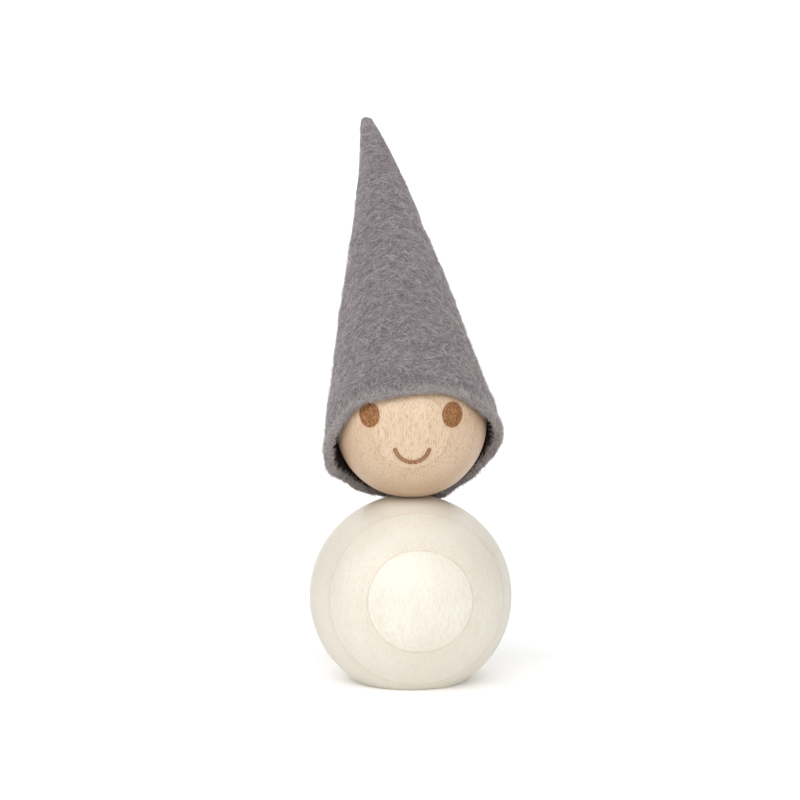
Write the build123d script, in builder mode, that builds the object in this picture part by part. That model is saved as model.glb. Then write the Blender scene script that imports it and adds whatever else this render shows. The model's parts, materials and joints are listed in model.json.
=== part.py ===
from build123d import *
from math import cos, radians, sin, sqrt, tan
import os

# Tomte gnome figurine: a turned wooden ball for the body, a smaller one for the head, a dowel
# glued in both, and a tall felt cone hat that leans back over the head.
# Millimetres. The origin is the centre of the base face, +Z is up and the face looks to -Y.

# ---------------------------------------------------------------- driving dimensions

# Body ball
body_diameter = 40.0
base_flat_diameter = 21.3
base_edge_fillet = 0.5

# Head ball
head_diameter = 30.0

# Neck dowel and the blind bores it is glued in
dowel_diameter = 4.0
dowel_length = 18.0
dowel_chamfer = 0.4
bore_clearance = 0.05
bore_end_clearance = 1.0
neck_land = 0.45

# Burned face: two oval eyes and a smile, seen from the front, from the head's centre
eye_width = 4.0
eye_height = 5.0
eye_offset_x = 8.0
eye_offset_z = 2.5
smile_radius = 3.4
smile_centre_z = -3.3
smile_sweep = 166.0
smile_stroke = 0.75
burn_depth = 0.2

# Felt hat
felt_thickness = 1.9
hat_clearance = 0.2
hat_half_angle = 11.4
shoulder_clearance = 1.13
hat_tip_radius = 1.4
hollow_tip_radius = 0.6
rim_edge_fillet = 0.35
hat_tilt_back = 41.5
hat_lean_left = 6.0

# Butt seam down the back of the hat, and the thread that whips its two edges together
seam_gap = 0.3
seam_end_margin = 6.0
stitch_pitch = 4.2
stitch_width = 3.2
stitch_slant = 24.0
stitch_rise = 0.25
stitch_depth = 0.55
thread_diameter = 0.5
first_stitch_from_rim = 2.6

# ---------------------------------------------------------------- sizes that follow

body_radius = body_diameter / 2
head_radius = head_diameter / 2
dowel_radius = dowel_diameter / 2
bore_radius = dowel_radius + bore_clearance
bore_depth = dowel_length / 2 + bore_end_clearance
neck_flat_radius = bore_radius + neck_land

# Each ball is as high above its flat as the flat's radius says.
body_centre_z = sqrt(body_radius**2 - (base_flat_diameter / 2) ** 2)
neck_z = body_centre_z + sqrt(body_radius**2 - neck_flat_radius**2)
head_centre_z = neck_z + sqrt(head_radius**2 - neck_flat_radius**2)
head_centre = Vector(0, 0, head_centre_z)

# The hat's own directions: along its axis to the tip, and square to that towards the back,
# where the seam runs down to the rim.
tilt = radians(hat_tilt_back)
lean = radians(hat_lean_left)
hat_direction = Vector(-sin(lean), cos(lean) * sin(tilt), cos(lean) * cos(tilt))
back = Vector(0, 1, 0)
seam_direction = (back - hat_direction * back.dot(hat_direction)).normalized()
hat_axis = Axis(head_centre, hat_direction)

# The seam plane holds the hat's axis: local X points to the seam and local Y to the tip.
seam_plane = Plane(
    origin=head_centre, x_dir=seam_direction, z_dir=seam_direction.cross(hat_direction)
)

# The hollow is tangent to the head with hat_clearance left, and the felt is even all over.
half_angle = radians(hat_half_angle)
slope = tan(half_angle)
inner_radius_at_head = (head_radius + hat_clearance) / cos(half_angle)
outer_radius_at_head = inner_radius_at_head + felt_thickness / cos(half_angle)
inner_apex = inner_radius_at_head / slope
outer_apex = outer_radius_at_head / slope

# The rim comes down the cone until it is shoulder_clearance from the body ball. In the half plane
# through the hat's axis and the body's centre, that centre lies at (body_x, body_y).
to_body = Vector(0, 0, body_centre_z) - head_centre
body_y = to_body.dot(hat_direction)
body_x = (to_body - hat_direction * body_y).length
reach = body_radius + shoulder_clearance
square_term = 1 + slope**2
middle_term = body_y + slope * (outer_radius_at_head - body_x)
constant_term = body_y**2 + (outer_radius_at_head - body_x) ** 2 - reach**2
rim_y = (middle_term + sqrt(middle_term**2 - square_term * constant_term)) / square_term
seam_end_y = inner_apex - seam_end_margin


def hat_outline(radius_at_head, apex, tip_radius):
    """Half of a cone with a round tip in the seam plane, from the rim's centre to the axis."""
    tip_centre_y = apex - tip_radius / sin(half_angle)
    rim_radius = radius_at_head - rim_y * slope
    tangent_point = (tip_radius * cos(half_angle), tip_centre_y + tip_radius * sin(half_angle))
    tip_point = (0, tip_centre_y + tip_radius)
    Polyline(tip_point, (0, rim_y), (rim_radius, rim_y), tangent_point)
    CenterArc((0, tip_centre_y), tip_radius, hat_half_angle, 90 - hat_half_angle)


# ---------------------------------------------------------------- body ball

with BuildPart() as body_ball:
    with Locations((0, 0, body_centre_z)):
        Sphere(body_radius)
    split(bisect_by=Plane.XY, keep=Keep.TOP)
    split(bisect_by=Plane.XY.offset(neck_z), keep=Keep.BOTTOM)
    fillet(body_ball.edges().group_by(Axis.Z)[0].filter_by(GeomType.CIRCLE), base_edge_fillet)
    with Locations((0, 0, neck_z)):
        Hole(bore_radius, bore_depth)
body_ball.part.label = "body_ball"

# ---------------------------------------------------------------- head ball

# The face is a thin shell of the ball under the eyes and the smile, cut away to burn_depth.
face_plane = Plane(origin=head_centre, x_dir=(1, 0, 0), z_dir=(0, -1, 0))

with BuildPart() as burned_face:
    with BuildSketch(face_plane):
        with Locations((-eye_offset_x, eye_offset_z), (eye_offset_x, eye_offset_z)):
            Ellipse(eye_width / 2, eye_height / 2)
        smile_arc = CenterArc(
            (0, smile_centre_z), smile_radius, 270 - smile_sweep / 2, smile_sweep, mode=Mode.PRIVATE
        )
        SlotArc(smile_arc, smile_stroke)
    extrude(amount=head_radius)
    with Locations(head_centre):
        Sphere(head_radius - burn_depth, mode=Mode.SUBTRACT)

with BuildPart() as head_ball:
    with Locations(head_centre):
        Sphere(head_radius)
    split(bisect_by=Plane.XY.offset(neck_z), keep=Keep.TOP)
    with BuildSketch(Plane.XY.offset(neck_z)):
        Circle(bore_radius)
    extrude(amount=bore_depth, mode=Mode.SUBTRACT)
    add(burned_face.part, mode=Mode.SUBTRACT)
head_ball.part.label = "head_ball"

# ---------------------------------------------------------------- neck dowel

with BuildPart() as neck_dowel:
    with BuildSketch(Plane.XY.offset(neck_z - dowel_length / 2)):
        Circle(dowel_radius)
    extrude(amount=dowel_length)
    chamfer(neck_dowel.edges().filter_by(GeomType.CIRCLE), dowel_chamfer)
neck_dowel.part.label = "neck_dowel"

# ---------------------------------------------------------------- felt hat

with BuildPart() as hat_felt:
    with BuildSketch(seam_plane):
        with BuildLine():
            hat_outline(outer_radius_at_head, outer_apex, hat_tip_radius)
        make_face()
        with BuildLine():
            hat_outline(inner_radius_at_head, inner_apex, hollow_tip_radius)
        make_face(mode=Mode.SUBTRACT)
    revolve(axis=hat_axis)
    fillet(
        hat_felt.edges().filter_by(GeomType.CIRCLE).sort_by(hat_axis)[:2], rim_edge_fillet
    )
    # The sector's two straight edges meet at the back with a narrow gap between them.
    with BuildSketch(seam_plane):
        with Locations((0, rim_y - 1)):
            Rectangle(
                outer_radius_at_head * 2, seam_end_y - rim_y + 1, align=(Align.MIN, Align.MIN)
            )
    extrude(amount=seam_gap / 2, both=True, mode=Mode.SUBTRACT)
hat_felt.part.label = "hat_felt"

# ---------------------------------------------------------------- seam stitches

stitch_count = int((seam_end_y - rim_y - first_stitch_from_rim) / stitch_pitch) + 1
outward = seam_direction * cos(half_angle) + hat_direction * sin(half_angle)
along_edge = hat_direction * cos(half_angle) - seam_direction * sin(half_angle)
across = seam_direction.cross(hat_direction)
slant = radians(stitch_slant)
stitch_line = across * cos(slant) + along_edge * sin(slant)

with BuildPart() as seam_stitches:
    for number in range(stitch_count):
        stitch_y = rim_y + first_stitch_from_rim + number * stitch_pitch
        surface_point = (
            head_centre
            + hat_direction * stitch_y
            + seam_direction * (outer_radius_at_head - stitch_y * slope)
        )
        stitch_plane = Plane(
            origin=surface_point, x_dir=stitch_line, z_dir=stitch_line.cross(outward)
        )
        with BuildLine(stitch_plane) as thread_path:
            ThreePointArc(
                (-stitch_width / 2, -stitch_depth), (0, stitch_rise), (stitch_width / 2, -stitch_depth)
            )
        with BuildSketch(Plane(origin=thread_path.line @ 0, z_dir=thread_path.line % 0)):
            Circle(thread_diameter / 2)
        sweep(path=thread_path.line)
seam_stitches.part.label = "seam_stitches"

# ---------------------------------------------------------------- files

os.makedirs("parts", exist_ok=True)
for piece in (body_ball, head_ball, neck_dowel, hat_felt, seam_stitches):
    export_step(piece.part, f"parts/{piece.part.label}.step")

print(f"neck at {neck_z:.3f}, head centre at {head_centre_z:.3f}, {stitch_count} stitches")
print(f"rim {rim_y:.3f} along the hat's axis, rim radius {outer_radius_at_head - rim_y * slope:.2f}")
print(f"hat axis {hat_direction}, seam direction {seam_direction}")
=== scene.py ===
import json
import math

import bpy
import numpy as np
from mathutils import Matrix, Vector


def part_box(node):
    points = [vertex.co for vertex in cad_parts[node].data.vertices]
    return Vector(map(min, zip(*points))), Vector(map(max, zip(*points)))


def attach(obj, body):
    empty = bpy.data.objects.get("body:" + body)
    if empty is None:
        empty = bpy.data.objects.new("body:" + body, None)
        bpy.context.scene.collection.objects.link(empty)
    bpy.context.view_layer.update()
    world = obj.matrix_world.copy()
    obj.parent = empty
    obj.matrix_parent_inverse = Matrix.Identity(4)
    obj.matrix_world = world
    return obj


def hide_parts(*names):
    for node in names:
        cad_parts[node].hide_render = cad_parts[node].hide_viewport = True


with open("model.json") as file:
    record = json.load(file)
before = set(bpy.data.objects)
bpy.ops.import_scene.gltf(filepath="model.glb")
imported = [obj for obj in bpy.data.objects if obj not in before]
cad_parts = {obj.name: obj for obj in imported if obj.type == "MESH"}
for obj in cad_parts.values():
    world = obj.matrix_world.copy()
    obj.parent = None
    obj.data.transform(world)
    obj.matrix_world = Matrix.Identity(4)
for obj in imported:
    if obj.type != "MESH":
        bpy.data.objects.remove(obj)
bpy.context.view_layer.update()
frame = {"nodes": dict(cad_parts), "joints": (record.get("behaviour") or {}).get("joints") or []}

# Everything below is worked out in millimetres, and MM turns it into Blender's metres.
MM = 0.001

# ---------------------------------------- the frame's own places

BASE_FLAT_RADIUS = 10.65
BASE_EDGE_FILLET = 0.5
NECK_FLAT_RADIUS = 2.5
BORE_RADIUS = 2.05
BORE_DEPTH = 10.0
HAT_HALF_ANGLE = math.radians(11.4)
FELT_THICKNESS = 1.9

head_low, head_high = (np.array(corner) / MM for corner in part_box("head_ball"))
body_low, body_high = (np.array(corner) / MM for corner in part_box("body_ball"))
neck_z = head_low[2]
head_radius = (head_high[0] - head_low[0]) / 2
body_radius = (body_high[0] - body_low[0]) / 2
head_centre = np.array([0.0, 0.0, neck_z + math.sqrt(head_radius**2 - NECK_FLAT_RADIUS**2)])
body_centre = np.array([0.0, 0.0, math.sqrt(body_radius**2 - BASE_FLAT_RADIUS**2)])

# The hat's axis to its tip is the way it lifts off. The seam lies straight behind that axis, and
# hat_left is the viewer's left.
hat_axis = np.array(frame["joints"][0]["axis"], float)
seam_side = np.array([0.0, 1.0, 0.0]) - hat_axis * hat_axis[1]
seam_side /= np.linalg.norm(seam_side)
hat_left = np.cross(hat_axis, seam_side)

# The tip bends this way, towards -X and square to the axis, and the hat's middle bows away from it.
bend_side = np.array([-1.0, 0.0, 0.0]) + hat_axis * hat_axis[0]
bend_side /= np.linalg.norm(bend_side)

felt_points = np.array([v.co for v in frame["nodes"]["hat_felt"].data.vertices]) / MM
along_hat = (felt_points - head_centre) @ hat_axis
from_axis = np.linalg.norm(felt_points - head_centre - np.outer(along_hat, hat_axis), axis=1)
rim_at = along_hat.min()
tip_at = along_hat.max()
rim_radius = from_axis.max()

# ---------------------------------------- mesh and node helpers


def smoothstep(low, high, value):
    share = np.clip((value - low) / (high - low), 0, 1)
    return share * share * (3 - 2 * share)


def mesh_piece(name, points, faces):
    """A smooth mesh object from points in millimetres and blocks of faces of three or four corners."""
    mesh = bpy.data.meshes.new(name)
    sizes = np.concatenate([np.full(len(block), block.shape[1]) for block in faces])
    corners = np.concatenate([block.ravel() for block in faces])
    mesh.vertices.add(len(points))
    mesh.vertices.foreach_set("co", (np.asarray(points) * MM).astype(np.float32).ravel())
    mesh.loops.add(len(corners))
    mesh.loops.foreach_set("vertex_index", corners.astype(np.int32))
    mesh.polygons.add(len(sizes))
    starts = np.concatenate([[0], np.cumsum(sizes)[:-1]])
    mesh.polygons.foreach_set("loop_start", starts.astype(np.int32))
    mesh.update(calc_edges=True)
    mesh.validate()
    mesh.polygons.foreach_set("use_smooth", np.ones(len(mesh.polygons), bool))
    piece = bpy.data.objects.new(name, mesh)
    bpy.context.scene.collection.objects.link(piece)
    return piece


def lathe_faces(rows, columns):
    """Faces of a turned solid: a pole, rows of columns points each, and a second pole."""
    first = 1 + np.arange(columns)
    following = np.roll(first, -1)
    last_row = (rows - 1) * columns
    row_starts = (np.arange(rows - 1) * columns)[:, None]
    quads = np.stack(
        [
            (row_starts + first).ravel(),
            (row_starts + following).ravel(),
            (row_starts + columns + following).ravel(),
            (row_starts + columns + first).ravel(),
        ],
        axis=1,
    )
    start_fan = np.stack([np.zeros_like(first), following, first], axis=1)
    end_pole = np.full_like(first, 1 + rows * columns)
    end_fan = np.stack([end_pole, last_row + first, last_row + following], axis=1)
    return [start_fan, quads, end_fan]


def lathe_piece(name, centre, profile, angles, reshape=None):
    """Turns profile, (radius, height) points from pole to pole, round the vertical through centre."""
    inner = profile[1:-1]
    x = inner[:, :1] * np.sin(angles)
    y = -inner[:, :1] * np.cos(angles)
    z = np.broadcast_to(inner[:, 1:], x.shape)
    ring_points = np.stack([x, y, z], axis=2).reshape(-1, 3)
    start = [[0, 0, profile[0, 1]]]
    end = [[0, 0, profile[-1, 1]]]
    points = np.concatenate([start, ring_points, end])
    if reshape is not None:
        points = reshape(points)
    return mesh_piece(name, points + centre, lathe_faces(len(inner), len(angles)))


def line_points(start, end, count):
    """count points from start on towards end, without end itself."""
    share = np.linspace(0, 1, count, endpoint=False)[:, None]
    return np.array(start) * (1 - share) + np.array(end) * share


def arc_points(centre, radius, turns):
    """Points of a profile's arc round centre, one for each of turns."""
    return np.stack([centre[0] + radius * np.cos(turns), centre[1] + radius * np.sin(turns)], axis=1)


class NodeTree:
    """Builds a material's nodes with less writing: most calls return the new node's output."""

    def __init__(self, name):
        self.material = bpy.data.materials.new(name)
        self.material.use_nodes = True
        self.tree = self.material.node_tree
        self.shader = self.tree.nodes["Principled BSDF"]

    def put(self, socket, value):
        if isinstance(value, bpy.types.NodeSocket):
            self.tree.links.new(value, socket)
        else:
            socket.default_value = value

    def add(self, kind, values, output=0, **settings):
        node = self.tree.nodes.new("ShaderNode" + kind)
        for key, value in settings.items():
            setattr(node, key, value)
        for key, value in values.items():
            self.put(node.inputs[key], value)
        return node.outputs[output]

    def math(self, operation, *values, clamp=False):
        return self.add("Math", dict(enumerate(values)), operation=operation, use_clamp=clamp)

    def vector_math(self, operation, *values, output=0):
        return self.add("VectorMath", dict(enumerate(values)), output, operation=operation)

    def length(self, first, second):
        """The length of the flat vector (first, second)."""
        second_square = self.math("MULTIPLY", second, second)
        return self.math("SQRT", self.math("MULTIPLY_ADD", first, first, second_square))

    def split(self, vector):
        """The X, Y and Z outputs of a vector."""
        node = self.tree.nodes.new("ShaderNodeSeparateXYZ")
        self.put(node.inputs[0], vector)
        return node.outputs

    def place(self):
        """The piece's own coordinates, in millimetres."""
        own = self.add("TexCoord", {}, "Object")
        return self.vector_math("MULTIPLY", own, (1 / MM,) * 3)

    def noise(self, vector, scale, detail=2.0, roughness=0.5):
        values = {"Vector": vector, "Scale": scale, "Detail": detail, "Roughness": roughness}
        return self.add("TexNoise", values)

    def stretched(self, vector, scales, turn=(0.0, 0.0, 0.0)):
        values = {"Vector": vector, "Rotation": turn, "Scale": scales}
        return self.add("Mapping", values, vector_type="POINT")

    def band(self, value, low, high, to_low=0.0, to_high=1.0):
        """value between low and high, eased and spread from to_low to to_high."""
        values = {"Value": value, 1: low, 2: high, 3: to_low, 4: to_high}
        return self.add("MapRange", values, interpolation_type="SMOOTHSTEP", clamp=True)

    def mix(self, share, first, second):
        """first where share is 0 and second where it is 1, both colours."""
        return self.add("Mix", {0: share, 6: first, 7: second}, 2, data_type="RGBA")

    def bump(self, height, distance, strength=1.0, before=None):
        values = {"Height": height, "Distance": distance * MM, "Strength": strength}
        if before is not None:
            values["Normal"] = before
        return self.add("Bump", values)

    def finish(self, **values):
        for key, value in values.items():
            self.put(self.shader.inputs[key.replace("_", " ")], value)
        return self.material


def colour(red, green, blue):
    """A linear colour from display values out of 255."""
    linear = []
    for value in (red, green, blue):
        share = value / 255
        linear.append(share / 12.92 if share <= 0.04045 else ((share + 0.055) / 1.055) ** 2.4)
    return (*linear, 1.0)


# ---------------------------------------- the burned face

EYE_HALF_WIDTH = 2.0
EYE_HALF_HEIGHT = 2.5
EYE_X = 8.0
EYE_Z = 2.75
SMILE_RADIUS = 3.38
SMILE_X = 0.25
SMILE_Z = -2.98
SMILE_HALF_SWEEP = math.radians(74)
SMILE_HALF_STROKE = 0.45
BURN_DEPTH = 0.2
BURN_SLOPE = 0.16

# The burn's edge wanders by this much, and the thin smile takes this share of the eyes' burn.
EDGE_WANDER = 0.2
SMILE_BURN = 0.87


def face_distance(x, z):
    """How far a point of the face, seen from the front, lies outside the burned shapes."""
    eye_share = np.hypot((np.abs(x) - EYE_X) / EYE_HALF_WIDTH, (z - EYE_Z) / EYE_HALF_HEIGHT)
    eye = (eye_share - 1) * EYE_HALF_WIDTH
    turn = np.clip(np.arctan2(x - SMILE_X, SMILE_Z - z), -SMILE_HALF_SWEEP, SMILE_HALF_SWEEP)
    nearest_x = SMILE_X + SMILE_RADIUS * np.sin(turn)
    nearest_z = SMILE_Z - SMILE_RADIUS * np.cos(turn)
    smile = np.hypot(x - nearest_x, z - nearest_z) - SMILE_HALF_STROKE
    return np.minimum(eye, smile)


def engrave(points):
    """Sinks the burned shapes into the front of the head."""
    x, y, z = points.T
    on_face = (y < 0) & (np.hypot(x, z) < head_radius)
    depth = BURN_DEPTH * (1 - smoothstep(-BURN_SLOPE, 0.0, face_distance(x, z))) * on_face
    length = np.linalg.norm(points, axis=1)
    return points * (1 - depth / np.maximum(length, head_radius))[:, None]


def burn_mask(nodes, place):
    """The same shapes for the material: burned wood, the scorch round it and how far outside it is."""
    x, y, z = nodes.split(nodes.vector_math("SUBTRACT", place, tuple(head_centre)))
    eye_x = nodes.math("SUBTRACT", nodes.math("ABSOLUTE", x), EYE_X)
    eye_x = nodes.math("DIVIDE", eye_x, EYE_HALF_WIDTH)
    eye_z = nodes.math("DIVIDE", nodes.math("SUBTRACT", z, EYE_Z), EYE_HALF_HEIGHT)
    eye = nodes.math("SUBTRACT", nodes.length(eye_x, eye_z), 1.0)
    eye = nodes.math("MULTIPLY", eye, EYE_HALF_WIDTH)

    across = nodes.math("SUBTRACT", x, SMILE_X)
    down = nodes.math("SUBTRACT", SMILE_Z, z)
    turn = nodes.math("MAXIMUM", nodes.math("ARCTAN2", across, down), -SMILE_HALF_SWEEP)
    turn = nodes.math("MINIMUM", turn, SMILE_HALF_SWEEP)
    nearest_x = nodes.math("MULTIPLY", nodes.math("SINE", turn), SMILE_RADIUS)
    nearest_z = nodes.math("MULTIPLY", nodes.math("COSINE", turn), SMILE_RADIUS)
    off_x = nodes.math("SUBTRACT", across, nearest_x)
    off_z = nodes.math("SUBTRACT", down, nearest_z)
    smile = nodes.math("SUBTRACT", nodes.length(off_x, off_z), SMILE_HALF_STROKE)

    edge = nodes.noise(nodes.stretched(place, (1, 1, 0.5)), 4.0, 3.0)
    wander = nodes.math("MULTIPLY_ADD", edge, 2 * EDGE_WANDER, -EDGE_WANDER)
    outside = nodes.math("ADD", nodes.math("MINIMUM", eye, smile), wander)
    front = nodes.math("LESS_THAN", y, 0.0)
    burn = nodes.band(nodes.math("SUBTRACT", eye, smile), -0.5, 0.5, 1.0, SMILE_BURN)
    core = nodes.band(outside, -0.12, 0.06, 1.0, 0.0)
    core = nodes.math("MULTIPLY", core, nodes.math("MULTIPLY", front, burn))
    scorch = nodes.math("MULTIPLY", nodes.band(outside, -0.1, 0.55, 1.0, 0.0), front)
    return core, scorch, outside


# ---------------------------------------- wood

LINE_HALF_WIDTH = 0.13


def wood_material(
    name, centre, facing, pith_distance, first_ring, spacing, shades, rings, pores, edge_shade, face=False
):
    """Close-grained wood with upright grain, whose rings lie square to facing.

    first_ring is how far the ring nearest the front lies from centre, and shades are the colours of
    the early wood, the late wood, the ring line and the fibres. rings and pores say how much the
    ring lines and the short dark dashes along the grain show. The triple given before face is painted
    shade. It says how far behind the first ring the wood begins to be painted darker, how far behind
    it reaches its full share, and that share, so that the ball darkens towards its outline and back.
    """
    nodes = NodeTree(name)
    early, late, line, fleck = shades
    edge_shade_from, edge_shade_to, edge_shade_share = edge_shade
    place = nodes.place()
    local = nodes.vector_math("SUBTRACT", place, tuple(centre))

    # Ring surfaces are wide cylinders round a pith far behind the ball.
    pith = tuple(-np.array(facing) * pith_distance)
    slow = nodes.noise(nodes.stretched(place, (0.07, 0.07, 0.03)), 1.0, 2.0)
    quick = nodes.noise(nodes.stretched(place, (0.5, 0.5, 0.12)), 1.0, 2.0)
    drift = nodes.math("MULTIPLY_ADD", slow, 0.7, -0.41)
    drift = nodes.math("MULTIPLY_ADD", quick, 0.12, drift)
    from_pith = nodes.vector_math("SUBTRACT", local, pith)
    grain = np.cross(facing, (1.0, 0.0, 0.0))
    grain /= np.linalg.norm(grain)
    radius = nodes.vector_math("CROSS_PRODUCT", tuple(grain), from_pith)
    radius = nodes.vector_math("LENGTH", radius, output="Value")
    depth = nodes.math("ADD", nodes.math("SUBTRACT", pith_distance + first_ring, radius), drift)
    ring = nodes.math("DIVIDE", depth, spacing)
    share = nodes.math("FRACT", ring)
    number = nodes.math("FLOOR", ring)

    # Just behind each ring line the wood is darkest, and it pales towards the next one.
    late_share = nodes.band(share, 0.0, 0.4, 1.0, 0.0)
    late_share = nodes.math("MULTIPLY", late_share, 0.8 * rings)
    near_line = nodes.math("ABSOLUTE", nodes.math("SUBTRACT", share, LINE_HALF_WIDTH / spacing))
    patchy = nodes.noise(nodes.stretched(place, (0.5, 0.5, 0.2)), 1.0, 3.0)
    patchy = nodes.band(patchy, 0.35, 0.62, 0.35, 1.0)
    line_share = nodes.band(near_line, 0.0, LINE_HALF_WIDTH / spacing, rings, 0.0)
    line_share = nodes.math("MULTIPLY", line_share, patchy)
    own_shade = nodes.add("TexWhiteNoise", {"W": number}, noise_dimensions="1D")

    # Fibres, pores and rays: short dashes along the grain, and wider soft streaks.
    dashes = nodes.noise(nodes.stretched(place, (4.3, 4.3, 0.6)), 1.0, 2.0, 0.55)
    pore_share = nodes.band(dashes, 0.50, 0.68)
    fine = nodes.noise(nodes.stretched(place, (7.5, 7.5, 0.9)), 1.0, 3.0, 0.6)
    rays = nodes.noise(nodes.stretched(place, (2.6, 0.5, 1.3)), 1.0, 2.0, 0.5)
    ray_share = nodes.band(rays, 0.62, 0.72)
    streaks = nodes.noise(nodes.stretched(place, (0.75, 0.75, 0.05)), 1.0, 3.0, 0.6)
    clouds = nodes.noise(nodes.stretched(place, (0.14, 0.14, 0.08)), 1.0, 2.0)

    base = nodes.mix(late_share, early, late)
    base = nodes.mix(nodes.math("MULTIPLY", own_shade, 0.35), base, late)
    base = nodes.mix(nodes.band(clouds, 0.35, 0.7, 0.0, 0.4), base, late)
    base = nodes.mix(nodes.band(streaks, 0.45, 0.75, 0.0, 0.3), base, late)
    # Painted shade: the wood is painted darker the further it lies back from the front.
    base = nodes.mix(nodes.band(depth, edge_shade_from, edge_shade_to, 0.0, edge_shade_share), base, late)
    base = nodes.mix(line_share, base, line)
    late_pores = nodes.math("MULTIPLY", late_share, nodes.math("MULTIPLY", pore_share, 0.5))
    base = nodes.mix(late_pores, base, line)
    base = nodes.mix(nodes.band(fine, 0.35, 0.75, 0.0, 0.6 * pores), base, fleck)
    base = nodes.mix(nodes.math("MULTIPLY", pore_share, pores), base, fleck)
    base = nodes.mix(nodes.math("MULTIPLY", ray_share, 0.22), base, early)

    height = nodes.math("MULTIPLY_ADD", pore_share, -1.0, nodes.math("MULTIPLY", fine, 0.5))
    rough = nodes.band(fine, 0.3, 0.75, 0.42, 0.56)
    normal = nodes.bump(height, 0.02)
    if face:
        core, scorch, outside = burn_mask(nodes, place)
        char = nodes.noise(nodes.stretched(place, (4.6, 4.6, 1.7)), 1.0, 3.0, 0.65)
        brown = nodes.mix(nodes.band(char, 0.38, 0.62), colour(103, 62, 28), colour(163, 112, 64))
        rim = nodes.band(outside, -0.45, -0.05, 0.0, 0.22)
        brown = nodes.mix(rim, brown, colour(96, 58, 30))
        base = nodes.mix(nodes.math("MULTIPLY", scorch, 0.22), base, colour(190, 150, 108))
        base = nodes.mix(core, base, brown)
        rough = nodes.math("MAXIMUM", rough, nodes.math("MULTIPLY", core, 0.75))
        normal = nodes.bump(nodes.math("MULTIPLY", char, core), 0.10, before=normal)
    return nodes.finish(Base_Color=base, Roughness=rough, Normal=normal)


body_wood = wood_material(
    "whitened_wood",
    centre=body_centre,
    facing=(0.11, -0.988, 0.103),
    pith_distance=210.0,
    first_ring=17.35,
    spacing=6.25,
    shades=(colour(225, 221, 210), colour(213, 206, 191), colour(203, 180, 159), colour(202, 189, 170)),
    rings=0.7,
    pores=0.42,
    # Painted shade towards the ball's outline and back.
    edge_shade=(3.5, 15.0, 0.75),
)
head_wood = wood_material(
    "natural_wood",
    centre=head_centre,
    facing=(0.0, -0.999, -0.035),
    pith_distance=150.0,
    first_ring=13.25,
    spacing=4.1,
    shades=(colour(214, 192, 166), colour(192, 163, 134), colour(174, 140, 110), colour(170, 136, 104)),
    rings=0.36,
    pores=0.7,
    # Painted shade towards the ball's outline and back.
    edge_shade=(0.0, 6.5, 0.6),
    face=True,
)

# Both balls have a thin satin finish over the wood.
FINISH_ROUGHNESS = 0.32
WOOD_SPECULAR = 0.4
for wood, finish in ((body_wood, 0.35), (head_wood, 0.25)):
    shader = wood.node_tree.nodes["Principled BSDF"]
    shader.inputs["Coat Weight"].default_value = finish
    shader.inputs["Coat Roughness"].default_value = FINISH_ROUGHNESS
    shader.inputs["Specular IOR Level"].default_value = WOOD_SPECULAR

# ---------------------------------------- the two balls

BALL_COLUMNS = 320
BODY_ARC_ROWS = 170
HEAD_COLUMNS = 400
HEAD_ARC_ROWS = 230

# The head's columns and rows crowd together by this share where the face is engraved.
FRONT_CROWDING = 0.62


def body_profile():
    """(radius, height) from the bottom of the bore, over the ball, to the middle of the base."""
    top = neck_z - body_centre[2]
    bottom = -body_centre[2]
    # The base edge is eased with an arc between the ball and the flat.
    fillet_z = bottom + BASE_EDGE_FILLET
    fillet_x = math.sqrt((body_radius - BASE_EDGE_FILLET) ** 2 - fillet_z**2)
    meets = math.atan2(fillet_z, fillet_x)
    sweep = np.linspace(math.atan2(top, NECK_FLAT_RADIUS), meets, BODY_ARC_ROWS)
    turn = np.linspace(meets, -math.pi / 2, 8)[1:]
    rows = [
        line_points((0, top - BORE_DEPTH), (BORE_RADIUS, top - BORE_DEPTH), 4),
        line_points((BORE_RADIUS, top - BORE_DEPTH), (BORE_RADIUS, top), 12),
        line_points((BORE_RADIUS, top), (NECK_FLAT_RADIUS, top), 3),
        arc_points((0, 0), body_radius, sweep),
        arc_points((fillet_x, fillet_z), BASE_EDGE_FILLET, turn),
        line_points((fillet_x, bottom), (0, bottom), 24)[1:],
        [[0, bottom]],
    ]
    return np.concatenate(rows)


def head_profile():
    """(radius, height) from the top of the bore, down it, over the ball and up to its pole."""
    bottom = neck_z - head_centre[2]
    start = math.atan2(bottom, NECK_FLAT_RADIUS)
    share = np.linspace(0, 1, HEAD_ARC_ROWS)
    crowded = share + FRONT_CROWDING / (2 * math.pi) * np.sin(2 * math.pi * share)
    ball = arc_points((0, 0), head_radius, start + (math.pi / 2 - start) * crowded)
    ball[-1] = (0, head_radius)
    rows = [
        line_points((0, bottom + BORE_DEPTH), (BORE_RADIUS, bottom + BORE_DEPTH), 4),
        line_points((BORE_RADIUS, bottom + BORE_DEPTH), (BORE_RADIUS, bottom), 12),
        line_points((BORE_RADIUS, bottom), (NECK_FLAT_RADIUS, bottom), 3),
        ball,
    ]
    return np.concatenate(rows)


even_angles = np.linspace(-math.pi, math.pi, BALL_COLUMNS, endpoint=False)
body = lathe_piece("body_ball_turned", body_centre, body_profile(), even_angles)
body.data.materials.append(body_wood)
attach(body, "figure")
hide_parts("body_ball")

turns = np.linspace(-math.pi, math.pi, HEAD_COLUMNS, endpoint=False)
face_angles = turns - FRONT_CROWDING * np.sin(turns)
head = lathe_piece("head_ball_turned", head_centre, head_profile(), face_angles, engrave)
head.data.materials.append(head_wood)
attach(head, "figure")
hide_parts("head_ball")

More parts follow.
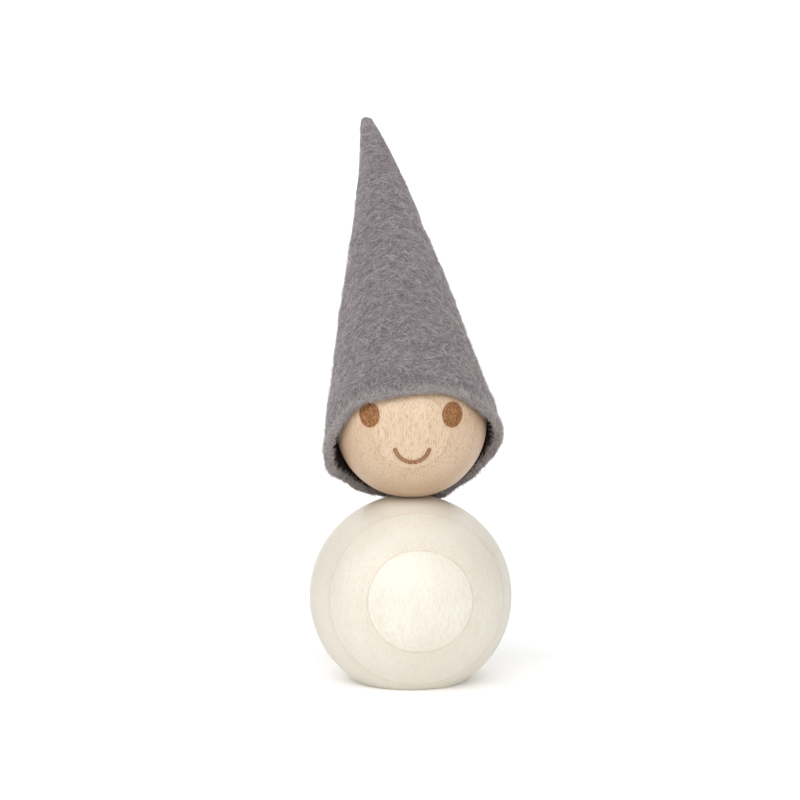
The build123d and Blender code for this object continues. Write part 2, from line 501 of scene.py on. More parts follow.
dowel_wood = wood_material(
    "dowel_wood",
    centre=np.array([0.0, 0.0, neck_z]),
    facing=(0.0, -1.0, 0.0),
    pith_distance=60.0,
    first_ring=1.2,
    spacing=2.1,
    shades=(colour(222, 196, 158), colour(203, 170, 128), colour(180, 141, 98), colour(170, 130, 90)),
    rings=0.8,
    pores=0.5,
    edge_shade=(0.0, 2.0, 0.0),
)
dowel = frame["nodes"]["neck_dowel"]
dowel.data.materials.clear()
dowel.data.materials.append(dowel_wood)

# ---------------------------------------- the felt's surface

SLOPE = math.tan(HAT_HALF_ANGLE)
OUTER_TIP_RADIUS = 1.35
HOLLOW_TIP_RADIUS = 0.5
RIM_ROUND = 0.55
CURL_REACH = 7.0
CURL_DEPTH = 0.45

# Over the brow the rim curls in further, and its cut edge leans back to the head.
BROW_CURL = 1.05
BROW_CURL_FROM = math.radians(85)
BROW_CURL_FULL = math.radians(45)
BROW_CUT_LEAN = 0.8
BROW_CUT_REACH = 4.0
WAIST_AT = 8.0
WAIST_WIDTH = 8.0
WAIST = 0.22
BELLY_AT = 33.0
BELLY_WIDTH = 14.0
BELLY = 0.15
BOW = 0.65
TIP_BEND = 1.3

# The rim isn't cut quite square: it rides up over the brow, comes down at the sides and behind, and
# rides up again at the seam. Places are degrees round the hat from the front, and less than 0 is
# the viewer's left.
BROW_RIDE_UP = 1.75
BROW_ENDS = 75
BROW_FULL = 35
BROW_MIDDLE_SHARE = 0.3
REAR_DROP = 1.15
REAR_STARTS = 126
REAR_FULL = 150
SEAM_RIDE_UP = 0.4
SEAM_STARTS = 160
SEAM_FULL = 178
RIGHT_REAR_DROP = 1.45
RIGHT_REAR_AT = 168
RIGHT_REAR_WIDTH = 10
RIGHT_REAR_ENDS = 180
RIGHT_REAR_FADES = 172

# How much lower the rim hangs at its left brow, left side and left rear, where, and how wide.
LEFT_DROPS = ((-0.6, -42, 20), (2.2, -97, 15), (0.8, -130, 12))
RIM_SHAPE_REACH = 10.0
DENT_AT = 44.0
DENT_TURN = math.radians(112)
DENT_RADIUS = 5.0
DENT_SLIMNESS = 0.75
DENT_DEPTH = 0.55
SEAM_GROOVE = 0.45
SEAM_GROOVE_WIDTH = 0.55
LUMP_WAVES = 90
LUMP_LENGTHS = (2.0, 16.0)
LUMP_HEIGHT = 0.004
LUMP_GROWTH = 0.55

# The hollow's wall and the tip show this much of the outside's relief.
FAINT = 0.35

# Roughly how far the cone's apex lies past its round tip.
APEX_PAST_TIP = 6.0

# The felt itself is drawn this much thinner, and the loose fibres on it fill the rest.
NAP_ALLOWANCE = 0.4

# Steps along the felt's section, where its shape is looked up.
SECTION_STEP = 0.12

rng = np.random.default_rng(17)
inner_at_head = rim_radius + rim_at * SLOPE - FELT_THICKNESS / math.cos(HAT_HALF_ANGLE)
outer_at_head = rim_radius + rim_at * SLOPE - NAP_ALLOWANCE
inner_rim_radius = inner_at_head - rim_at * SLOPE
outer_rim_radius = outer_at_head - rim_at * SLOPE


def cone_line(radius_at_head, tip_radius, spacing):
    """(radius, along the axis) from the rim up a cone wall and over its round tip to the axis."""
    tip_centre = radius_at_head / SLOPE - tip_radius / math.sin(HAT_HALF_ANGLE)
    tip_rise = tip_radius * math.sin(HAT_HALF_ANGLE)
    leaves = (tip_radius * math.cos(HAT_HALF_ANGLE), tip_centre + tip_rise)
    rim = (radius_at_head - rim_at * SLOPE, rim_at)
    wall = line_points(rim, leaves, int((leaves[1] - rim[1]) / spacing))
    cap = arc_points((0, tip_centre), tip_radius, np.linspace(HAT_HALF_ANGLE, math.pi / 2, 7))
    cap[-1, 0] = 0
    return np.concatenate([wall, cap])


def felt_profile(wall_spacing, hollow_spacing):
    """The felt's section from the tip of its hollow, down and round the rim, to its outer tip."""
    outer = cone_line(outer_at_head, OUTER_TIP_RADIUS, wall_spacing)
    hollow = cone_line(inner_at_head, HOLLOW_TIP_RADIUS, hollow_spacing)[::-1]
    round_at = rim_at + RIM_ROUND
    outer = outer[outer[:, 1] > round_at]
    hollow = hollow[hollow[:, 1] > round_at]
    turn = np.linspace(0, math.pi / 2, 6)
    inside = arc_points((inner_rim_radius + RIM_ROUND, round_at), RIM_ROUND, math.pi + turn)
    outside = arc_points((outer_rim_radius - RIM_ROUND, round_at), RIM_ROUND, -turn)[::-1]
    middle = line_points(inside[-1], outside[0], 4)[1:]
    return np.concatenate([hollow, inside, middle, outside, outer])


def faintly(share):
    """From FAINT where share is 0 to all where it is 1."""
    return FAINT + (1 - FAINT) * share


def bell(value, middle, width):
    return np.exp(-(((value - middle) / width) ** 2))


class Felt:
    """The felt's surface, by the turn round the axis and the run along the section.

    The turn is 0 in front, grows to the viewer's right and is pi and -pi at the seam. The run starts
    at the tip of the hollow, passes the rim and ends at the outer tip.
    """

    def __init__(self):
        self.section = felt_profile(SECTION_STEP, SECTION_STEP)
        steps = np.linalg.norm(np.diff(self.section, axis=0), axis=1)
        self.run = np.concatenate([[0], np.cumsum(steps)])
        tangent = np.gradient(self.section, self.run, axis=0)
        tangent /= np.linalg.norm(tangent, axis=1)[:, None]
        self.out = np.stack([tangent[:, 1], -tangent[:, 0]], axis=1)
        self.length = self.run[-1]
        # Soft lumps are a sum of plane waves over the unrolled sector.
        lengths = np.exp(rng.uniform(*np.log(LUMP_LENGTHS), LUMP_WAVES))
        turns = rng.uniform(0, 2 * math.pi, LUMP_WAVES)
        self.waves = 2 * math.pi / lengths * np.stack([np.cos(turns), np.sin(turns)])
        self.phases = rng.uniform(0, 2 * math.pi, LUMP_WAVES)
        self.heights = LUMP_HEIGHT * lengths**LUMP_GROWTH

    def at(self, run):
        """The radius and the place along the axis at a run, and the same two parts of its normal."""
        radius = np.interp(run, self.run, self.section[:, 0])
        along = np.interp(run, self.run, self.section[:, 1])
        out_radial = np.interp(run, self.run, self.out[:, 0])
        out_along = np.interp(run, self.run, self.out[:, 1])
        return radius, along, out_radial, out_along

    def lumps(self, turn, along):
        slant = (tip_at + APEX_PAST_TIP - along) / math.cos(HAT_HALF_ANGLE)
        flat_turn = turn * math.sin(HAT_HALF_ANGLE)
        flat = np.stack([slant * np.cos(flat_turn), slant * np.sin(flat_turn)], axis=-1)
        return (np.sin(flat @ self.waves + self.phases) * self.heights).sum(axis=-1)

    def rim_drop(self, turn):
        """How much lower the rim hangs at each turn."""
        degrees = np.degrees(turn)
        aside = np.abs(degrees)
        drop = -BROW_RIDE_UP * smoothstep(BROW_ENDS, BROW_FULL, aside)
        drop = drop * (1 - BROW_MIDDLE_SHARE * smoothstep(BROW_FULL, 0, aside))
        for depth, middle, width in LEFT_DROPS:
            drop = drop + depth * bell(degrees, middle, width)
        right = RIGHT_REAR_DROP * bell(degrees, RIGHT_REAR_AT, RIGHT_REAR_WIDTH)
        drop = drop + right * smoothstep(RIGHT_REAR_ENDS, RIGHT_REAR_FADES, degrees)
        drop = drop + REAR_DROP * smoothstep(REAR_STARTS, REAR_FULL, aside)
        return drop - SEAM_RIDE_UP * smoothstep(SEAM_STARTS, SEAM_FULL, aside)

    def point(self, turn, run, lift=0.0):
        """The place and the outward normal of a point lift above the felt."""
        turn, run, lift = np.broadcast_arrays(turn, run, lift)
        radius, along, out_radial, out_along = self.at(run)
        outside = smoothstep(-0.2, 0.2, out_radial)
        to_tip = tip_at - along
        soft = smoothstep(0.0, 8.0, to_tip)

        # Lumps, the lift and the seam's groove move a point square to the felt.
        change = self.lumps(turn, along) * faintly(outside) * faintly(soft)
        from_seam = (math.pi - np.abs(turn)) * np.maximum(radius, 0.3)
        groove = -SEAM_GROOVE * bell(from_seam, 0, SEAM_GROOVE_WIDTH)
        groove = groove * faintly(outside) * smoothstep(3.0, 9.0, to_tip)

        # The belly, the waist, the rim's curl and the dent move it square to the axis.
        swell = BELLY * bell(along, BELLY_AT, BELLY_WIDTH)
        swell = (swell - WAIST * bell(along, WAIST_AT, WAIST_WIDTH)) * outside
        brow = smoothstep(BROW_CURL_FROM, BROW_CURL_FULL, np.abs(turn))
        curl = -(CURL_DEPTH + BROW_CURL * brow) * smoothstep(rim_at + CURL_REACH, rim_at, along)
        dent_turn = np.angle(np.exp(1j * (turn - DENT_TURN)))
        dent_away = np.hypot((along - DENT_AT) * DENT_SLIMNESS, dent_turn * radius) / DENT_RADIUS
        dent = -DENT_DEPTH * np.exp(-(dent_away**2)) * outside

        # The rim's shape and its leaning cut move it along the axis.
        across = np.clip((radius - inner_rim_radius) / (outer_rim_radius - inner_rim_radius), 0, 1)
        cut_lean = BROW_CUT_LEAN * brow * across * smoothstep(rim_at + BROW_CUT_REACH, rim_at, along)
        near_rim = smoothstep(rim_at + RIM_SHAPE_REACH, rim_at, along)

        radius = radius + (change + lift + groove) * out_radial + (swell + curl + dent) * soft
        along = along + (change + lift) * out_along - self.rim_drop(turn) * near_rim - cut_lean
        radial = -np.cos(turn)[..., None] * seam_side - np.sin(turn)[..., None] * hat_left
        normal = out_radial[..., None] * radial + out_along[..., None] * hat_axis
        share = np.clip(along / tip_at, 0, 1)
        bend = TIP_BEND * share**4 - BOW * np.sin(math.pi * share**2)
        place = head_centre + along[..., None] * hat_axis + radius[..., None] * radial
        return place + bend[..., None] * bend_side, normal


felt = Felt()

# The cone unrolls to a sector. Its map has this many millimetres to one unit.
SECTOR_UNIT = 100.0
sector_slant = (outer_at_head / SLOPE - rim_at) / math.cos(HAT_HALF_ANGLE)

# ---------------------------------------- felt and fibre materials

# Fibres of the felt's surface run at these turns in the sector, and are this fine across.
FIBRE_RUNS = ((0.0, 5.6), (0.45, 6.2), (-0.5, 5.2), (1.2, 6.0), (-1.05, 5.4))


def felt_material(name, lining=False):
    """Napped wool felt: mottled warm greys with paler and darker fibres running every way."""
    nodes = NodeTree(name)
    place = nodes.place()
    sector = nodes.add("UVMap", {}, uv_map="sector")
    sector = nodes.vector_math("MULTIPLY", sector, (SECTOR_UNIT, SECTOR_UNIT, 0.0))
    swirl = nodes.add("TexNoise", {"Vector": sector, "Scale": 0.35, "Detail": 2.0}, "Color")
    swirl = nodes.vector_math("SUBTRACT", swirl, (0.5,) * 3)
    swirl = nodes.vector_math("MULTIPLY", swirl, (2.6, 2.6, 0.0))
    warped = nodes.vector_math("ADD", sector, swirl)
    pale = 0.0
    dark = 0.0
    for number, (turn, fineness) in enumerate(FIBRE_RUNS):
        # Each run of fibres comes from its own part of the noise.
        shifted = nodes.vector_math("ADD", warped, (number * 17.3, number * 9.1, 0.0))
        drawn_out = nodes.stretched(shifted, (0.75, fineness, 1.0), (0, 0, turn))
        fibres = nodes.noise(drawn_out, 1.0, 2.0, 0.6)
        pale = nodes.math("MAXIMUM", pale, nodes.band(fibres, 0.58, 0.78))
        dark = nodes.math("MAXIMUM", dark, nodes.band(fibres, 0.28, 0.42, 1.0, 0.0))
    mottle = nodes.noise(place, 0.8, 3.0, 0.6)
    cloud = nodes.noise(place, 0.14, 2.0, 0.5)
    base = nodes.mix(nodes.band(mottle, 0.35, 0.65), colour(96, 83, 91), colour(114, 101, 108))
    base = nodes.mix(nodes.band(cloud, 0.42, 0.62, 0.0, 0.65), base, colour(108, 108, 109))
    base = nodes.mix(nodes.math("MULTIPLY", dark, 0.42), base, colour(75, 65, 72))
    base = nodes.mix(nodes.math("MULTIPLY", pale, 0.34), base, colour(158, 148, 150))
    # Painted light: the rim's cut edge and the felt within a millimetre of it are painted paler, where
    # the edge catches the light.
    from_rim = nodes.math("SUBTRACT", sector_slant, nodes.split(sector)["Y"])
    edge_light = nodes.band(from_rim, 0.05, 0.8, 0.9, 0.0)
    edge_light = nodes.math("MULTIPLY", edge_light, nodes.band(mottle, 0.25, 0.6, 0.3, 1.0))
    base = nodes.mix(edge_light, base, colour(178, 169, 168))
    # Painted shade: inside the hollow, from just past the rim, the lining is painted nearly all dark
    # brown.
    if lining:
        base = nodes.mix(nodes.band(from_rim, 0.1, 1.2, 0.2, 0.97), base, colour(44, 27, 21))
    height = nodes.math("SUBTRACT", pale, nodes.math("MULTIPLY", dark, 0.8))
    height = nodes.math("MULTIPLY_ADD", mottle, 0.6, height)
    normal = nodes.bump(height, 0.07, 0.9)
    return nodes.finish(Base_Color=base, Normal=normal, Roughness=0.95)


def fibre_material(name, dark, pale):
    """Loose wool fibres, each in its own shade."""
    nodes = NodeTree(name)
    own = nodes.add("NewGeometry", {}, "Random Per Island")
    place = nodes.place()
    patch = nodes.noise(place, 0.6, 2.0)
    shade = nodes.math("MULTIPLY_ADD", patch, 0.35, nodes.math("MULTIPLY", own, 0.75), clamp=True)
    return nodes.finish(Base_Color=nodes.mix(shade, dark, pale), Roughness=0.9)


hat_material = felt_material("grey_wool_felt")
lining_material = felt_material("felt_lining", lining=True)
nap_material = fibre_material("wool_nap", colour(86, 74, 81), colour(141, 129, 134))
# The loose ends are paler than the felt. This is partly the wool's own paler loose fibres and partly
# painted light for the bright halo along the hat's edges.
fuzz_material = fibre_material("wool_fuzz", colour(150, 141, 140), colour(212, 205, 202))
# Painted shade: the loose fibres inside the hollow are dark brown, like the painted lining.
lining_fuzz_material = fibre_material("lining_fuzz", colour(46, 31, 26), colour(84, 68, 63))

WOOL_SHEENS = ((hat_material, 0.9), (lining_material, 0.03), (nap_material, 0.6), (fuzz_material, 0.5))
SHEEN_ROUGHNESS = 0.5
WOOL_SPECULAR = 0.15
for wool, sheen in WOOL_SHEENS:
    shader = wool.node_tree.nodes["Principled BSDF"]
    shader.inputs["Sheen Weight"].default_value = sheen
    shader.inputs["Sheen Roughness"].default_value = SHEEN_ROUGHNESS
    shader.inputs["Specular IOR Level"].default_value = WOOL_SPECULAR

# ---------------------------------------- the hat

HAT_COLUMNS = 300
WALL_STEP = 0.36
HOLLOW_STEP = 1.2


def hat_piece():
    """The felt cone itself, with its thickness, its rim and the groove of its butt seam."""
    profile = felt_profile(WALL_STEP, HOLLOW_STEP)
    steps = np.linalg.norm(np.diff(profile, axis=0), axis=1)
    run = np.concatenate([[0], np.cumsum(steps)])
    run *= felt.length / run[-1]
    turns = np.linspace(-math.pi, math.pi, HAT_COLUMNS, endpoint=False)
    grid_turn, grid_run = np.meshgrid(turns, run[1:-1])
    place, _ = felt.point(grid_turn, grid_run)
    poles, _ = felt.point(np.zeros(2), np.array([0.0, felt.length]))
    points = np.concatenate([poles[:1], place.reshape(-1, 3), poles[1:]])
    piece = mesh_piece("hat_felt_cone", points, lathe_faces(len(run) - 2, HAT_COLUMNS))

    # The first fan and the rows of the hollow take the lining's material.
    before_rim = profile[1:-1, 1][: np.argmin(profile[:, 1])]
    hollow_rows = np.count_nonzero(before_rim > rim_at + RIM_ROUND)
    lining_faces = HAT_COLUMNS * (1 + hollow_rows)
    face_material = np.zeros(len(piece.data.polygons), np.int32)
    face_material[:lining_faces] = 1
    piece.data.polygons.foreach_set("material_index", face_material)

    # The sector map unrolls the cone, so that the felt's fibres run on across it.
    _, along, _, _ = felt.at(np.concatenate([[0], grid_run.ravel(), [felt.length]]))
    slant = (outer_at_head / SLOPE - along) / math.cos(HAT_HALF_ANGLE)
    turn = np.concatenate([[0], grid_turn.ravel(), [0]])
    layer = piece.data.uv_layers.new(name="sector")
    corner_point = np.empty(len(piece.data.loops), np.int32)
    piece.data.loops.foreach_get("vertex_index", corner_point)
    arc = turn * slant * math.sin(HAT_HALF_ANGLE)
    flat = np.stack([arc, slant], axis=1)[corner_point] / SECTOR_UNIT
    layer.data.foreach_set("uv", flat.astype(np.float32).ravel())
    return piece


# Points along each fibre, how blunt its ends are, and how deep its root sits in the felt.
FIBRE_STEPS = 5
FIBRE_END = 0.18
ROOT_DEPTH = 0.05


def strands(name, turn, run, heading, curl, length, lift, width, material):
    """Thin tapering fibres on the felt, each a closed three-sided tube.

    heading is measured from straight round the hat, curl is how it changes per millimetre, and lift
    is how high a fibre's points stand above the felt, one row of FIBRE_STEPS for each fibre.
    """
    count = len(turn)
    stride = length / (FIBRE_STEPS - 1)
    places = []
    normals = []
    for number in range(FIBRE_STEPS):
        place, normal = felt.point(turn, run, lift[:, number])
        places.append(place)
        normals.append(normal)
        radius = np.maximum(felt.at(run)[0], 0.4)
        turn = turn + np.cos(heading) * stride / radius
        run = np.clip(run + np.sin(heading) * stride, 0, felt.length)
        heading = heading + curl * stride
    places = np.stack(places, axis=1)
    normals = np.stack(normals, axis=1)
    ahead = np.gradient(places, axis=1)
    ahead /= np.maximum(np.linalg.norm(ahead, axis=2, keepdims=True), 1e-9)
    side = np.cross(ahead, normals)
    side /= np.maximum(np.linalg.norm(side, axis=2, keepdims=True), 1e-9)
    up = np.cross(side, ahead)
    taper = np.sin(np.linspace(FIBRE_END, math.pi - FIBRE_END, FIBRE_STEPS)) ** 0.5
    half = (width[:, None] / 2 * taper)[..., None]
    rings = []
    for corner in (math.pi / 2, math.pi * 7 / 6, math.pi * 11 / 6):
        rings.append(places + half * (math.cos(corner) * side + math.sin(corner) * up))
    points = np.stack(rings, axis=2).reshape(-1, 3)
    first = np.arange(count)[:, None] * FIBRE_STEPS * 3
    quads = []
    for number in range(FIBRE_STEPS - 1):
        here = first + number * 3 + np.array([[0, 1, 2]])
        around = first + number * 3 + np.array([[1, 2, 0]])
        quads.append(np.stack([here, around, around + 3, here + 3], axis=2).reshape(-1, 4))
    start = first + np.array([[2, 1, 0]])
    end = first + (FIBRE_STEPS - 1) * 3 + np.array([[0, 1, 2]])
    piece = mesh_piece(name, points, [np.concatenate(quads), start, end])
    piece.data.materials.append(material)
    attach(piece, "hat")
    return piece


# Least and most length, height and width of the fibres.
NAP_LENGTHS = (1.8, 5.6)
NAP_HEIGHTS = (0.02, 0.11)
NAP_WIDTHS = (0.045, 0.1)
FUZZ_LENGTHS = (0.8, 2.6)
FUZZ_HEIGHTS = (0.1, 1.1)
FUZZ_WIDTHS = (0.04, 0.08)
RIM_LENGTHS = (0.5, 1.8)
RIM_WIDTHS = (0.035, 0.08)
RIM_FIBRES_REACH = 0.9
LOOSE_SHARE = 0.25


def random_runs(count, runs, weight):
    """Random places along the section, as dense as weight says."""
    share = np.cumsum(weight) / weight.sum()
    return np.interp(rng.uniform(0, 1, count), share, runs)


def spread_over(count, from_along, outside=True):
    """Random places on one wall of the felt, even over its area, from from_along to the tip."""
    runs = np.linspace(0, felt.length, 4000)
    radius, along, out_radial, _ = felt.at(runs)
    side = out_radial > 0.5 if outside else out_radial < -0.5
    run = random_runs(count, runs, np.where(side & (along > from_along), radius, 0))
    return rng.uniform(-math.pi, math.pi, count), run


def nap_heading(count, spread):
    """Fibres lie mostly round the hat, and LOOSE_SHARE of them any way."""
    loose = rng.uniform(0, 1, count) < LOOSE_SHARE
    heading = rng.normal(0, spread, count)
    heading[loose] = rng.uniform(-math.pi / 2, math.pi / 2, loose.sum())
    return heading + math.pi * rng.integers(0, 2, count)


def nap_piece(name, count):
    """Fibres felted into the outside: each rises out of the surface, arches over and dips back."""
    turn, run = spread_over(count, rim_at + 0.4)
    length = rng.uniform(*NAP_LENGTHS, count)
    arch = np.sin(np.linspace(0, math.pi, FIBRE_STEPS))
    height = rng.uniform(*NAP_HEIGHTS, count)
    lift = height[:, None] * arch - ROOT_DEPTH * (1 - arch)
    curl = rng.normal(0, 0.18, count)
    width = rng.uniform(*NAP_WIDTHS, count)
    heading = nap_heading(count, 0.45)
    return strands(name, turn, run, heading, curl, length, lift, width, nap_material)


def fuzz_piece(name, count, from_along, material, outside=True, size=1.0):
    """Loose ends that stand off the felt in a thin halo."""
    turn, run = spread_over(count, from_along, outside)
    length = rng.uniform(*FUZZ_LENGTHS, count) * size
    rise = np.linspace(0, 1, FIBRE_STEPS) ** rng.uniform(0.7, 1.6, count)[:, None]
    height = rng.gamma(2.0, 0.17, count).clip(*FUZZ_HEIGHTS) * (0.5 + 0.5 * size)
    lift = height[:, None] * rise - ROOT_DEPTH * (1 - rise)
    curl = rng.normal(0, 0.6, count)
    width = rng.uniform(*FUZZ_WIDTHS, count) * size
    heading = nap_heading(count, 0.8)
    return strands(name, turn, run, heading, curl, length, lift, width, material)


def rim_piece(name, count, stand, material):
    """Short fibres on the rim's cut edge and just above it outside, up to stand high."""
    runs = np.linspace(0, felt.length, 6000)
    _, along, out_radial, _ = felt.at(runs)
    on_edge = (along < rim_at + RIM_FIBRES_REACH) & (out_radial > -0.6)
    run = random_runs(count, runs, np.where(on_edge, 1.0, 0.0))
    turn = rng.uniform(-math.pi, math.pi, count)
    length = rng.uniform(*RIM_LENGTHS, count)
    rise = np.linspace(0, 1, FIBRE_STEPS)
    height = rng.gamma(2.0, 0.2 * stand, count).clip(0.04, stand)
    lift = height[:, None] * rise - ROOT_DEPTH * (1 - rise)
    heading = rng.uniform(0, 2 * math.pi, count)
    curl = rng.normal(0, 0.7, count)
    width = rng.uniform(*RIM_WIDTHS, count)
    return strands(name, turn, run, heading, curl, length, lift, width, material)


hat = hat_piece()
hat.data.materials.append(hat_material)
hat.data.materials.append(lining_material)
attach(hat, "hat")
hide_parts("hat_felt")

# Fibres in one piece, few enough for the limit of faces in a piece.
FIBRES = 6900
LINING_FIBRES = 1800
nap = [
    nap_piece("hat_nap_a", FIBRES),
    nap_piece("hat_nap_b", FIBRES),
    nap_piece("hat_nap_c", FIBRES),
    rim_piece("hat_rim_nap", FIBRES, 0.35, nap_material),
]
fuzz = [
    fuzz_piece("hat_fuzz_a", FIBRES, rim_at + 0.3, fuzz_material),
    fuzz_piece("hat_fuzz_b", FIBRES, rim_at + 0.3, fuzz_material),
    fuzz_piece("hat_down_a", FIBRES, rim_at + 0.1, fuzz_material, size=0.6),
    fuzz_piece("hat_down_b", FIBRES, rim_at + 0.1, fuzz_material, size=0.6),
    fuzz_piece("hat_lining_fuzz", LINING_FIBRES, rim_at + 0.3, lining_fuzz_material, outside=False),
    rim_piece("hat_rim_fuzz", FIBRES, 0.95, fuzz_material),
]

# ---------------------------------------- the seam's thread

STITCH_PITCH = 4.2
FIRST_STITCH = 2.6
STITCH_HALF_WIDTH = 1.6
STITCH_SLANT = math.radians(24)
STITCH_RISE = 0.28
STITCH_DIP = 0.5
GROOVE_SPAN = 2.6
PLY_RADIUS = 0.135
PLY_OFFSET = 0.12
TWIST_PITCH = 1.3
SEAM_ENDS = 6.0
STITCH_STEPS = 22
PLY_SIDES = 8


def ply_tube(centre, side, up):
    """Points of a closed round tube along centre, and its faces."""
    turns = np.linspace(0, 2 * math.pi, PLY_SIDES, endpoint=False)[:, None]
    ring = np.cos(turns) * side[:, None] + np.sin(turns) * up[:, None]
    points = centre[:, None] + PLY_RADIUS * ring
    points = np.concatenate([centre[:1], points.reshape(-1, 3), centre[-1:]])
    return points, lathe_faces(len(centre), PLY_SIDES)


def stitches_piece():
    """Slanting whip stitches of two-ply thread over the seam, from the rim to near the tip."""
    hollow_end = inner_at_head / SLOPE - SEAM_ENDS
    count = int((hollow_end - rim_at - FIRST_STITCH) / STITCH_PITCH) + 1
    runs = np.linspace(0, felt.length, 4000)
    _, along, out_radial, _ = felt.at(runs)
    outer = out_radial > 0.5
    all_points = []
    all_faces = [[], [], []]
    offset = 0
    share = np.linspace(-1, 1, STITCH_STEPS)
    for number in range(count):
        middle = rim_at + FIRST_STITCH + number * STITCH_PITCH + rng.normal(0, 0.12)
        slant = STITCH_SLANT + rng.normal(0, 0.05)
        reach = STITCH_HALF_WIDTH * (1 + rng.normal(0, 0.04))
        stitch_along = middle + share * reach * math.sin(slant)
        run = np.interp(stitch_along, along[outer], runs[outer])
        radius = np.maximum(felt.at(run)[0], 1.0)
        turn = math.pi + share * reach * math.cos(slant) / radius
        # The thread arches over the seam's groove and dips into the felt at both ends.
        lift = STITCH_RISE * (1 - share**2) - STITCH_DIP * share**6
        lift = lift + SEAM_GROOVE * np.exp(-((share * GROOVE_SPAN) ** 2))
        centre, normal = felt.point(np.angle(np.exp(1j * turn)), run, lift)
        ahead = np.gradient(centre, axis=0)
        ahead /= np.linalg.norm(ahead, axis=1)[:, None]
        side = np.cross(ahead, normal)
        side /= np.linalg.norm(side, axis=1)[:, None]
        up = np.cross(side, ahead)
        steps = np.linalg.norm(np.diff(centre, axis=0), axis=1)
        walked = np.concatenate([[0], np.cumsum(steps)])
        for ply in range(2):
            twist = walked / TWIST_PITCH * 2 * math.pi + ply * math.pi
            around = np.cos(twist)[:, None] * side + np.sin(twist)[:, None] * up
            points, faces = ply_tube(centre + PLY_OFFSET * around, side, up)
            all_points.append(points)
            for block, found in zip(all_faces, faces):
                block.append(found + offset)
            offset += len(points)
    blocks = [np.concatenate(block) for block in all_faces]
    return mesh_piece("seam_thread", np.concatenate(all_points), blocks)


def thread_material():
    """Spun cotton: fine strands along each ply."""
    nodes = NodeTree("grey_cotton_thread")
    place = nodes.place()
    strand = nodes.noise(place, 6.0, 3.0, 0.6)
    base = nodes.mix(nodes.band(strand, 0.35, 0.65), colour(98, 92, 93), colour(142, 135, 135))
    return nodes.finish(Base_Color=base, Roughness=0.8, Normal=nodes.bump(strand, 0.04))


thread = stitches_piece()
thread.data.materials.append(thread_material())
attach(thread, "hat")
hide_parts("seam_stitches")

# ---------------------------------------- floor, light and camera

FLOOR_HALF_WIDTH = 500.0
FLOOR_FRONT = -500.0
SWEEP_STARTS = 420.0
SWEEP_RADIUS = 260.0
SWEEP_TOP = 1300.0
GLOW_FROM = 290.0
GLOW_TO = 460.0
CENTRE_GLOW = 0.09
EDGE_GLOW = 0.7
WHITE = (1.0, 1.0, 1.0, 1.0)


def floor_piece():
    """A pale floor that curves up into a backdrop behind the figurine."""
    sweep = arc_points((SWEEP_STARTS, SWEEP_RADIUS), SWEEP_RADIUS, np.linspace(-math.pi / 2, 0, 24))
    top = (SWEEP_STARTS + SWEEP_RADIUS, SWEEP_TOP)
    section = np.concatenate([[(FLOOR_FRONT, 0)], sweep, [top]])
    points = []
    for x in (-FLOOR_HALF_WIDTH, FLOOR_HALF_WIDTH):
        points += [(x, y, z) for y, z in section]
    rows = len(section)
    start = np.arange(rows - 1)
    faces = np.stack([start, start + rows, start + rows + 1, start + 1], axis=1)
    piece = mesh_piece("studio_floor", np.array(points), [faces])
    nodes = NodeTree("studio_paper")
    place = nodes.place()
    grain = nodes.noise(place, 0.4, 2.0)
    base = nodes.mix(grain, colour(246, 246, 246), colour(249, 249, 249))
    # Towards its sides and front, where the softboxes hardly reach, the paper glows to stay white.
    x, y, _ = nodes.split(place)
    away = nodes.math("MAXIMUM", nodes.math("ABSOLUTE", x), nodes.math("MULTIPLY", y, -1.0))
    glow = nodes.band(away, GLOW_FROM, GLOW_TO, CENTRE_GLOW, EDGE_GLOW)
    paper = nodes.finish(Base_Color=base, Roughness=0.9, Emission_Color=WHITE, Emission_Strength=glow)
    piece.data.materials.append(paper)
    return piece


def aim(name, data, place, target):
    """Puts a new light or camera at place, looking at target, and returns it."""
    thing = bpy.data.objects.new(name, data)
    thing.location = Vector(place) * MM
    thing.rotation_euler = (Vector(target) - Vector(place)).to_track_quat("-Z", "Y").to_euler()
    bpy.context.scene.collection.objects.link(thing)
    return thing


def soft_light(name, place, target, width, height, power):
    data = bpy.data.lights.new(name, "AREA")
    data.shape = "RECTANGLE"
    data.size = width * MM
    data.size_y = height * MM
    data.energy = power
    aim(name, data, place, target)


floor_piece()

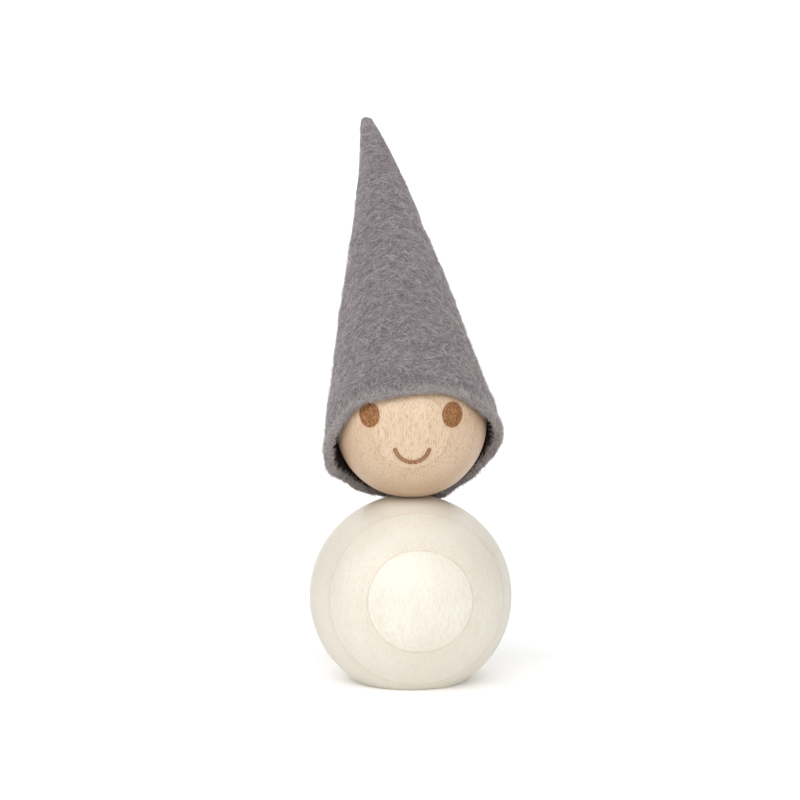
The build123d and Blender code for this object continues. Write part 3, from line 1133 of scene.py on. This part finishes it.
# Each softbox stands LIGHT_DISTANCE from the figurine's middle. Its row is the bearing from the front
# in degrees, less than 0 at the viewer's left, the rise above level, width, height and watts.
MIDDLE = (0.0, 0.0, 50.0)
LIGHT_DISTANCE = 700.0
SOFTBOXES = {
    "front_softbox": (0, 33, 620, 560, 3.85),
    "left_softbox": (-55, 30, 450, 500, 2.06),
    "right_softbox": (55, 22, 450, 450, 1.2),
    "back_left_softbox": (-135, 40, 400, 400, 0.4),
    "back_right_softbox": (135, 40, 400, 400, 0.3),
    "top_softbox": (180, 85, 500, 500, 0.25),
}
for name, (bearing, rise, width, height, power) in SOFTBOXES.items():
    level = math.cos(math.radians(rise))
    to_right = math.sin(math.radians(bearing)) * level
    to_front = math.cos(math.radians(bearing)) * level
    away = np.array([to_right, -to_front, math.sin(math.radians(rise))])
    soft_light(name, tuple(MIDDLE + LIGHT_DISTANCE * away), MIDDLE, width, height, power)

BACKDROP_LIGHT_PLACE = (0, 260, 520)
BACKDROP_LIGHT_TARGET = (0, 700, 160)
soft_light("backdrop_light", BACKDROP_LIGHT_PLACE, BACKDROP_LIGHT_TARGET, 900, 260, 2.4)

# The room is white to look at, but gives only a little of the light.
ROOM_LIGHT = 0.11
world = bpy.data.worlds.new("studio")
world.use_nodes = True
room = world.node_tree
strength = room.nodes.new("ShaderNodeMapRange")
strength.inputs["To Min"].default_value = ROOM_LIGHT
strength.inputs["To Max"].default_value = 1.0
seen = room.nodes.new("ShaderNodeLightPath").outputs["Is Camera Ray"]
room.links.new(seen, strength.inputs["Value"])
room.links.new(strength.outputs["Result"], room.nodes["Background"].inputs["Strength"])
room.nodes["Background"].inputs["Color"].default_value = WHITE
bpy.context.scene.world = world
bpy.context.scene.view_settings.view_transform = "Standard"

CAMERA_PLACE = (-2.1, -596.5, 120.6)
CAMERA_TARGET = (-2.1, 0.0, 55.8)
LENS = 137.25
camera_data = bpy.data.cameras.new("camera")
camera_data.sensor_width = 36.0
camera_data.lens = LENS
camera_data.clip_start = 0.01
bpy.context.scene.camera = aim("camera", camera_data, CAMERA_PLACE, CAMERA_TARGET)
